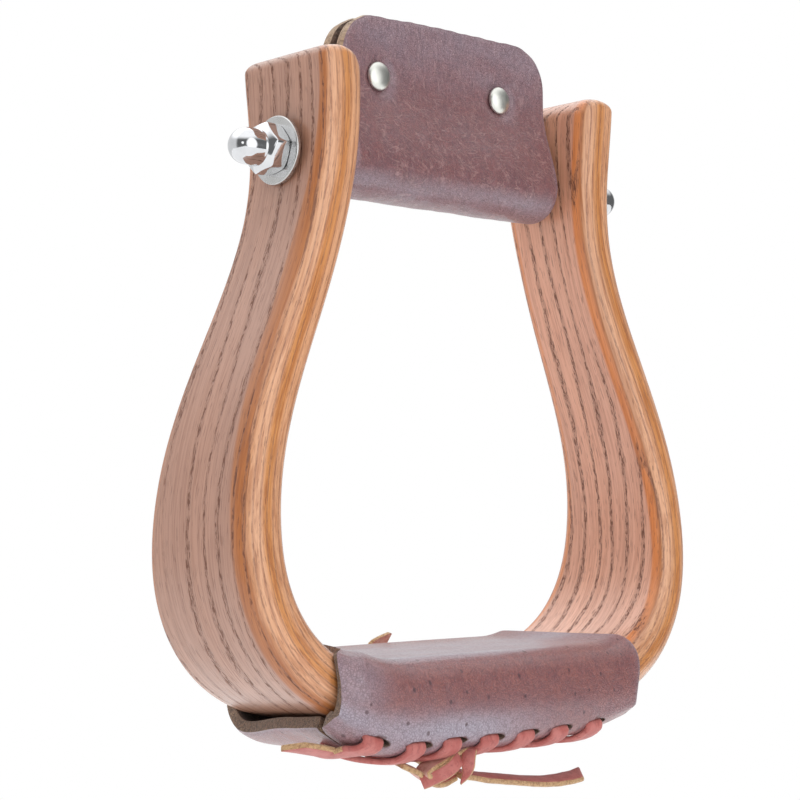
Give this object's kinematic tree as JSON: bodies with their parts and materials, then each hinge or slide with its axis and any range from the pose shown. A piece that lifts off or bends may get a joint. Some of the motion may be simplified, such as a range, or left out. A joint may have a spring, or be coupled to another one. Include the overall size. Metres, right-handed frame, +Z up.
{
  "type": "wooden bell stirrup",
  "caption": "Bent-wood bell stirrup with a laced leather tread cover, a cross bolt with roller and a riveted leather flap that swings on the bolt.",
  "frame": {"origin": "middle of the cross bolt, where the rider's strap holds the stirrup up", "axes": "+X along the bolt to the rider's right as the front is faced, +Y towards the back, +Z up"},
  "size_m": [0.1546, 0.0591, 0.1905],
  "materials": {
    "bow_wood": "clear-coated open-pored hardwood",
    "tread_leather": "oiled dark brown",
    "flap_leather": "oiled dark brown",
    "lace_leather": "waxed red-brown thong",
    "bright_plate": "bright plated",
    "bolt_steel": "plain"
  },
  "bodies": {
    "stirrup": {"bow": "bow_wood", "tread_cover": "tread_leather", "tread_lace": "lace_leather", "lace_tail_front": "lace_leather", "lace_tail_back": "lace_leather", "cross_bolt": "bolt_steel", "washer_left": "bright_plate", "washer_right": "bright_plate", "cap_nut_left": "bright_plate", "cap_nut_right": "bright_plate"},
    "roller": {"bolt_roller": "bolt_steel"},
    "flap": {"bolt_flap": "flap_leather", "rivet_left_cap": "bright_plate", "rivet_left_post": "bright_plate", "rivet_right_cap": "bright_plate", "rivet_right_post": "bright_plate"}
  },
  "joints": [
    {"name": "flap_swing", "type": "hinge", "parent": "stirrup", "child": "flap", "pos_m": [0, 0, 0], "axis": [1, 0, 0], "continuous": true},
    {"name": "roller_spin", "type": "hinge", "parent": "stirrup", "child": "roller", "pos_m": [0, 0, 0], "axis": [1, 0, 0], "continuous": true}
  ]
}
